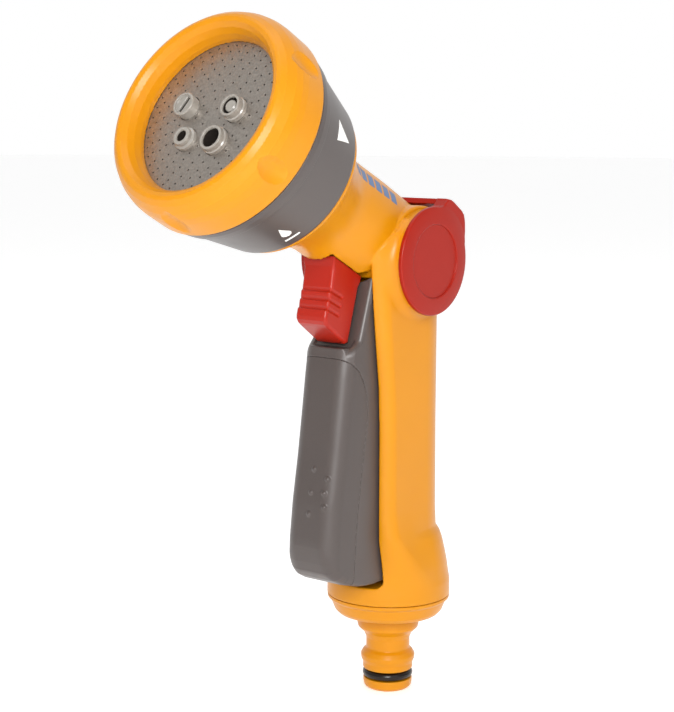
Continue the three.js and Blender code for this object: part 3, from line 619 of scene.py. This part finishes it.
def lock_f(x, y, z):
    ax = np.abs(x)
    w = 5.8
    under = 121.4 - 0.5262 * y - z          # height left below the slanted top
    d = soft_meet(poly(y, z, LOCK), ax - w, 0.12 + 1.0 * np.clip((under - 1.6) / 2, 0, 1))
    for gy, gz in GROOVES:
        g = np.minimum(segment(ax, y, z, (0, gy, gz), (w + 0.1, gy, gz)),
                       segment(ax, y, z, (w + 0.15, gy, gz), (w + 0.15, gy + 5.1, gz - 2.4)))
        d = take(d, g - 0.5, 0.35)
    ly = (y + 27.2) * math.cos(LOCK_LEAN) - (z - 114.4) * math.sin(LOCK_LEAN)
    lz = (y + 27.2) * math.sin(LOCK_LEAN) + (z - 114.4) * math.cos(LOCK_LEAN)
    zz = np.maximum(1.9 - lz, lz - 5.2)
    tongue = np.maximum(np.maximum(ax - 2.6, np.maximum(-1.2 - ly, ly - 4.2)), zz)
    flange = np.maximum(np.maximum(ax - 4.6, np.maximum(3.7 - ly, ly - 4.8)), zz)
    return np.minimum(d, np.minimum(tongue, flange))


skin("lock_button", lock_f, (-5.9, -39.6, 113.5), (5.9, -20.8, 140.5), 0.24, RED, "lock", ["trigger_lock"])

# --------------------------------------------------------------- flow control
OUT = [(3.2, 156.05), (4.8, 155.8), (6.2, 155.1), (10.4, 152.3), (11.6, 151.0), (12.2, 148.8)]
INNER = [(FLOW_Y + 18.15 * math.cos(math.radians(a)), FLOW_Z + 18.15 * math.sin(math.radians(a))) for a in np.linspace(36, 69, 6)]
CHEEK = [(-1, 140), (-1, 153.2), (1.0, 154.2)] + OUT + [(12.3, 145.6), (12.0, 142.6), (6, 139)]


def yoke_f(x, y, z):
    ax = np.abs(x)
    fr = np.hypot(y - FLOW_Y, z - FLOW_Z)
    crown = 19.85 - 0.4 * np.clip((fr - 11.4) / 5.0, 0, 1.2) ** 2
    plate2 = join(fr - 16.5, poly(y, z, CHEEK), 0.8)
    disc = meet(meet(plate2, ax - crown, 0.45), 18.1 - ax, 0.2)
    thick = np.maximum(poly(y, z, CHEEK), 16.25 - fr)
    inner = meet(meet(thick, ax - 18.6), 15.0 - ax, 0.2)
    disc = np.minimum(disc, inner)
    disc = take(disc, np.maximum(fr - 11.1, 19.35 - ax), 0.25)
    hub = np.maximum(fr - 5.5, np.maximum(13.7 - ax, ax - 18.3))
    bridge = meet(poly(y, z, OUT + INNER), ax - 18.4, 0.3)
    d = np.minimum(join(disc, bridge, 0.4), hub)
    return np.maximum(d, -np.maximum(np.maximum(fr - 3.3, 13 - ax), ax - 18.2))


skin("flow_yoke", yoke_f, (-19.95, -20.6, 121.0), (19.95, 12.5, 156.2), 0.3, DEEP_RED, "flow_control", ["flow_lever"])

# --------------------------------------------------------------- head
turned("selector_skin", [
    [22.4, 58.5], [25.0, 58.5, 0.3], [25.45, 59.4, 0.5], [29.35, 77.4, 0.6], [29.5, 77.9, 0.15], [30.05, 78.3, 0.35],
    [30.55, 80.6, 0.5], [30.7, 82.45, 0.3], [27.3, 82.45], [27.3, 88.6], [25.4, 88.6], [25.4, 76], [22.4, 66],
], GREY, "head", ["selector_ring"], seg=192)

BEZEL = [(27.7, 82.95), (30.9, 82.95), (31.4, 83.7), (31.4, 90.4), (31.2, 92.6), (30.6, 94.8), (29.3, 97.2), (28.0, 98.5), (27.0, 98.85),
         (25.8, 98.5), (24.6, 97.2), (23.7, 95.3), (23.2, 93.0), (23.3, 91.47), (27.7, 91.47)]
DIMPLES = [math.radians(-28 + 59.5 * k) for k in range(6)]


def bezel_f(x, y, s):
    r = np.hypot(x, y)
    d = poly(r, s, [(a, b) for a, b in BEZEL]) - 0.0
    ang = np.arctan2(y, x)
    for a in DIMPLES:
        # shallow finger dimple, long along the axis
        t = (np.mod(ang - a + math.pi, 2 * math.pi) - math.pi) * 31.3
        e = np.clip(1 - (t / 3.5) ** 2 - ((s - 90.6) / 5.2) ** 2, 0, 1)
        d = d + 1.5 * e * np.clip((r - 28) / 2, 0, 1)
    return d


skin("bezel_skin", bezel_f, (-31.5, -31.5, 82.9), (31.5, 31.5, 98.9), 0.4, ORANGE, "head", ["bezel_ring"],
     mirror=False, head=True)

# rose plate with its spray holes
TIPS = {"flat": (-9.5, 2.9, 3.55), "jet": (-6.2, -6.7, 3.4), "fill": (4.75, -7.05, 4.05), "cone": (8.2, 2.3, 3.65)}
rose = turned("rose_skin", [[0, 89.8], [27.3, 89.8, 0.1], [27.3, 91.4, 0.1], [0, 91.4]], ROSE, "head",
              ["rose_plate"], seg=160, head=False)


def pegs():
    V, F = [], []

    def peg(cx, cy, r, n):
        b = len(V)
        for s in (88.5, 92.5):
            V.extend([(cx + r * math.cos(k / n * 2 * math.pi), cy + r * math.sin(k / n * 2 * math.pi), s) for k in range(n)])
        F.append(list(range(b, b + n))[::-1])
        F.append(list(range(b + n, b + 2 * n)))
        for k in range(n):
            m = (k + 1) % n
            F.append([b + k, b + m, b + n + m, b + n + k])

    for cx, cy, r in TIPS.values():
        peg(cx, cy, r + 0.12, 40)
    for radius, count, phase in ((22.2, 44, 0.0), (20.4, 40, 0.5), (18.0, 32, 0.0), (15.8, 28, 0.5), (13.5, 22, 0.2), (11.2, 18, 0.6),
                                 (8.6, 14, 0.1), (5.8, 9, 0.5), (3.0, 5, 0.0)):
        for k in range(count):
            a = (k + phase) / count * 2 * math.pi
            cx, cy = radius * math.cos(a), radius * math.sin(a)
            if any(math.hypot(cx - tx, cy - ty) < tr + 0.9 for tx, ty, tr in TIPS.values()):
                continue
            peg(cx, cy, 0.3, 8)
    me = bpy.data.meshes.new("pegs")
    me.from_pydata((np.array(V) * 0.001).tolist(), [], F)
    me.update()
    ob = bpy.data.objects.new("pegs", me)
    bpy.context.scene.collection.objects.link(ob)
    return ob


cutter = pegs()
mod = rose.modifiers.new("holes", "BOOLEAN")
mod.object, mod.operation = cutter, "DIFFERENCE"
try:
    mod.solver = "MANIFOLD"
except TypeError:
    mod.solver = "EXACT"
bpy.context.view_layer.update()
cut_mesh = bpy.data.meshes.new_from_object(rose.evaluated_get(bpy.context.evaluated_depsgraph_get()))
rose.modifiers.clear()
rose.data = cut_mesh
bpy.data.objects.remove(cutter)
co = np.zeros(len(cut_mesh.vertices) * 3, np.float32)
cut_mesh.vertices.foreach_get("co", co)
co = (co.reshape(-1, 3) * 1000) @ HEAD_M.T + HEAD_O
cut_mesh.vertices.foreach_set("co", (co * 0.001).astype(np.float32).ravel())
cut_mesh.polygons.foreach_set("use_smooth", np.zeros(len(cut_mesh.polygons), bool))
cut_mesh.update()
while len(cut_mesh.materials) > 1:
    cut_mesh.materials.pop()


def tip(name, key, pts, node, fillet=0.15):
    x, y, _ = TIPS[key]
    ob = turned(name, pts, PALE, "head", [node], fillet=fillet, seg=64, at=(x, y, 0))
    # the bore's wall is in shade
    me, bore = ob.data, pts[0][0]
    if bore > 0:
        me.materials.append(DARK)
        for p in me.polygons:
            q = (np.array(p.center) * 1000 - HEAD_O) @ HEAD_M
            if math.hypot(q[0] - x, q[1] - y) < bore + 0.12 and q[2] < 93.6:
                p.material_index = 1
    return ob


def flat_f(x, y, s):
    x, y = x - TIPS["flat"][0], y - TIPS["flat"][1]
    r = np.hypot(x, y)
    d = meet(meet(r - 3.5, s - 94.35, 0.35), 64.5 - s)
    d = take(d, np.maximum(r - 2.75, 93.7 - s), 0.15)
    d = np.maximum(d, -np.maximum(r - 2.3, s - 92.9))
    c, w = math.cos(1.18), math.sin(1.18)
    u, v = x * c + y * w, -x * w + y * c
    return take(d, np.maximum(np.abs(u) - 2.3, np.abs(v) - 0.62), 0.1)


skin("tip_flat", flat_f, (-13.2, -0.8, 64.4), (-5.8, 6.6, 94.4), 0.25, PALE, "head", ["nozzle_flat"],
     mirror=False, head=True)
tip("tip_jet", "jet", [[1.6, 64.5], [3.4, 64.5], [3.4, 92.5], [2.75, 92.8], [2.7, 94.0], [1.75, 94.1], [1.6, 93.6]], "nozzle_jet")
tip("tip_fill", "fill", [[2.75, 64.5], [4.05, 64.5], [4.05, 92.4], [3.7, 92.7], [3.6, 94.0], [2.9, 94.1], [2.75, 93.5]], "nozzle_fill")
tip("tip_cone", "cone", [[2.45, 64.5], [3.65, 64.5], [3.65, 92.6], [3.3, 92.9], [3.2, 94.6], [2.6, 94.7], [2.45, 94.1]], "nozzle_cone")
tip("tip_core", "cone", [[0, 72], [2.1, 72], [2.1, 74], [1.3, 75], [1.3, 90], [1.75, 91.2], [1.75, 94.0], [1.45, 94.3], [0, 94.3]], "cone_core")


# --------------------------------------------------------------- printed marks
def ring_r(s):
    return float(np.interp(s, [p[0] for p in RING], [p[1] for p in RING]))


def on_ring(a, s, lift):
    r = ring_r(s) + lift
    return HEAD_M @ np.array([r * math.cos(a), r * math.sin(a), s]) + HEAD_O


def on_neck(a, s, lift):
    k = float(narrow(s))
    r = float(br(s)) + 0.4 * k + lift
    return HEAD_M @ np.array([r * math.cos(a) / (1 + 0.171 * k), r * math.sin(a) + float(lifted(s)), s]) + HEAD_O


def mark(shapes, place, mat, body, name):
    """Convex outlines in (angle, s) radians and millimetres, laid on a surface."""
    V, F = [], []
    for pts in shapes:
        s0, s1 = min(p[1] for p in pts), max(p[1] for p in pts)
        rows, cols = 10, 8
        b = len(V)
        for lift in (0.05, -0.12):
            for j in range(rows + 1):
                s = s0 + (s1 - s0) * (0.002 + 0.996 * j / rows)
                hit = []
                for i in range(len(pts)):
                    (a0, t0), (a1, t1) = pts[i - 1], pts[i]
                    if (t0 - s) * (t1 - s) <= 0 and t0 != t1:
                        hit.append(a0 + (a1 - a0) * (s - t0) / (t1 - t0))
                lo, hi = min(hit), max(hit)
                for k in range(cols + 1):
                    V.append(place(lo + (hi - lo) * k / cols, s, lift))
        w = cols + 1
        n = (rows + 1) * w
        for j in range(rows):
            for k in range(cols):
                q = [b + j * w + k, b + j * w + k + 1, b + (j + 1) * w + k + 1, b + (j + 1) * w + k]
                F.append(q)
                F.append([i + n for i in q[::-1]])
        edge = [b + k for k in range(w)] + [b + j * w + cols for j in range(1, rows + 1)]
        edge += [b + rows * w + k for k in range(cols - 1, -1, -1)] + [b + j * w for j in range(rows - 1, 0, -1)]
        for i in range(len(edge)):
            p, q = edge[i], edge[(i + 1) % len(edge)]
            F.append([q, p, p + n, q + n])
    ob = finish_piece(name, np.array(V), F, None, mat, body)
    ob.data.set_sharp_from_angle(angle=math.radians(40))
    return ob


def spot(a, s, r, n=16):
    return [(a + r * math.cos(t) / ring_r(s), s + r * math.sin(t)) for t in np.arange(n) / n * 2 * math.pi]


def bar(a0, a1, s0, s1):
    return [(a0, s0), (a1, s0), (a1, s1), (a0, s1)]


rad = math.radians
icons = []
for k in range(5):
    a = rad(15.2 + 72 * k) if k < 4 else rad(-54.0)
    mm = 1 / 27.3
    if k == 0:
        icons.append([(a - 3.1 * mm, 71.1), (a + 3.1 * mm, 71.1), (a, 63.8)])
    elif k == 1:
        icons += [spot(a + dx * mm, s, 0.7) for dx, s in ((-2.2, 66), (0, 66), (2.2, 66), (-1.1, 69), (1.1, 69))]
    elif k == 2:
        icons.append(bar(a - 0.5 * mm, a + 0.5 * mm, 63.5, 71.0))
    elif k == 3:
        icons += [bar(a - 3.0 * mm, a + 3.0 * mm, 69.5, 70.5), bar(a - 0.5 * mm, a + 0.5 * mm, 64, 69.3)]
    else:
        icons += [spot(a, 65.6, 1.5), [(a - 1.42 * mm, 66.1), (a + 1.42 * mm, 66.1), (a, 69.6)],
                  bar(a - 2.6 * mm, a + 2.6 * mm, 62.0, 62.7)]
mark(icons, on_ring, WHITE, "head", "pattern_marks")
bars = []
for i, (s0, s1) in enumerate(((19.6, 22.6), (23.6, 26.6), (27.6, 30.6), (31.6, 34.6), (35.6, 38.6), (39.6, 42.4), (43.4, 46.0))):
    bars.append(bar(rad(31), rad(47), s0, s1))
mark(bars, on_neck, BLUE, "gun_body", "neck_bars")

# --------------------------------------------------------------- camera
AZ, EL, ROLL = rad(39.05), rad(7.91), rad(0.29)
view = np.array([math.sin(AZ) * math.cos(EL), -math.cos(AZ) * math.cos(EL), math.sin(EL)])
right = np.array([math.cos(AZ), math.sin(AZ), 0])
up = np.cross(view, right)
r2 = right * math.cos(ROLL) + up * math.sin(ROLL)
u2 = up * math.cos(ROLL) - right * math.sin(ROLL)
from mathutils import Matrix

cam_data = bpy.data.cameras.new("camera")
cam = bpy.data.objects.new("camera", cam_data)
bpy.context.scene.collection.objects.link(cam)
cam.matrix_world = Matrix([
    [r2[0], u2[0], view[0], 0.3192], [r2[1], u2[1], view[1], -0.4200], [r2[2], u2[2], view[2], 0.1798], [0, 0, 0, 1]])
cam_data.sensor_fit = "HORIZONTAL"
cam_data.sensor_width = 36
cam_data.lens = 90.99
cam_data.clip_start = 0.01
bpy.context.scene.camera = cam

# --------------------------------------------------------------- studio
me = bpy.data.meshes.new("floor")
k = 64
me.from_pydata([(8 * math.cos(i / k * 2 * math.pi), 8 * math.sin(i / k * 2 * math.pi), 0) for i in range(k)], [], [list(range(k))])
floor = bpy.data.objects.new("floor", me)
pale_floor = finish("floor", (250, 250, 250), 0.7, spec=0.1)
pale_floor.node_tree.nodes["Principled BSDF"].inputs["Emission Color"].default_value = (1, 1, 1, 1)
pale_floor.node_tree.nodes["Principled BSDF"].inputs["Emission Strength"].default_value = 0.33
me.materials.append(pale_floor)
bpy.context.scene.collection.objects.link(floor)


def lamp(name, pos, aim, size, power, size_y=None):
    d = bpy.data.lights.new(name, "AREA")
    d.energy = power
    d.size = size
    if size_y:
        d.shape = "RECTANGLE"
        d.size_y = size_y
    o = bpy.data.objects.new(name, d)
    z = np.array(pos, float) - np.array(aim, float)
    z /= np.linalg.norm(z)
    x = np.cross([0, 0, 1.0], z)
    x /= np.linalg.norm(x)
    y = np.cross(z, x)
    o.matrix_world = Matrix([[x[i], y[i], z[i], pos[i]] for i in range(3)] + [[0, 0, 0, 1]])
    bpy.context.scene.collection.objects.link(o)


CAM_AT = np.array([0.3192, -0.4200, 0.1798])
lamp("camera_box", tuple(CAM_AT + view * 0.22 + np.array([0, 0, 0.16])), (0, -0.02, 0.11), 0.26, 5.0, 0.3)
lamp("right_box", (1.15, -0.25, 0.65), (0, 0, 0.11), 0.5, 1.6, 0.9)
lamp("top_box", (-0.1, -0.1, 1.3), (0, 0, 0.11), 0.8, 3.0)
world = bpy.data.worlds.new("studio")
world.use_nodes = True
wt = world.node_tree
bg = wt.nodes["Background"]
bg.inputs["Color"].default_value = (1, 1, 1, 1)
way = wt.nodes.new("ShaderNodeTexCoord")
dot = wt.nodes.new("ShaderNodeVectorMath")
dot.operation = "DOT_PRODUCT"
dot.inputs[1].default_value = (-0.62, 0.78, 0.05)
span = wt.nodes.new("ShaderNodeMapRange")
span.inputs["From Min"].default_value = 0.1
span.inputs["From Max"].default_value = 0.8
span.inputs["To Min"].default_value = 0.53
span.inputs["To Max"].default_value = 1.0
wt.links.new(way.outputs["Generated"], dot.inputs[0])
wt.links.new(dot.outputs["Value"], span.inputs["Value"])
wt.links.new(span.outputs["Result"], bg.inputs["Strength"])
bpy.context.scene.world = world
bpy.context.scene.view_settings.view_transform = "Standard"
bpy.context.scene.view_settings.look = "None"
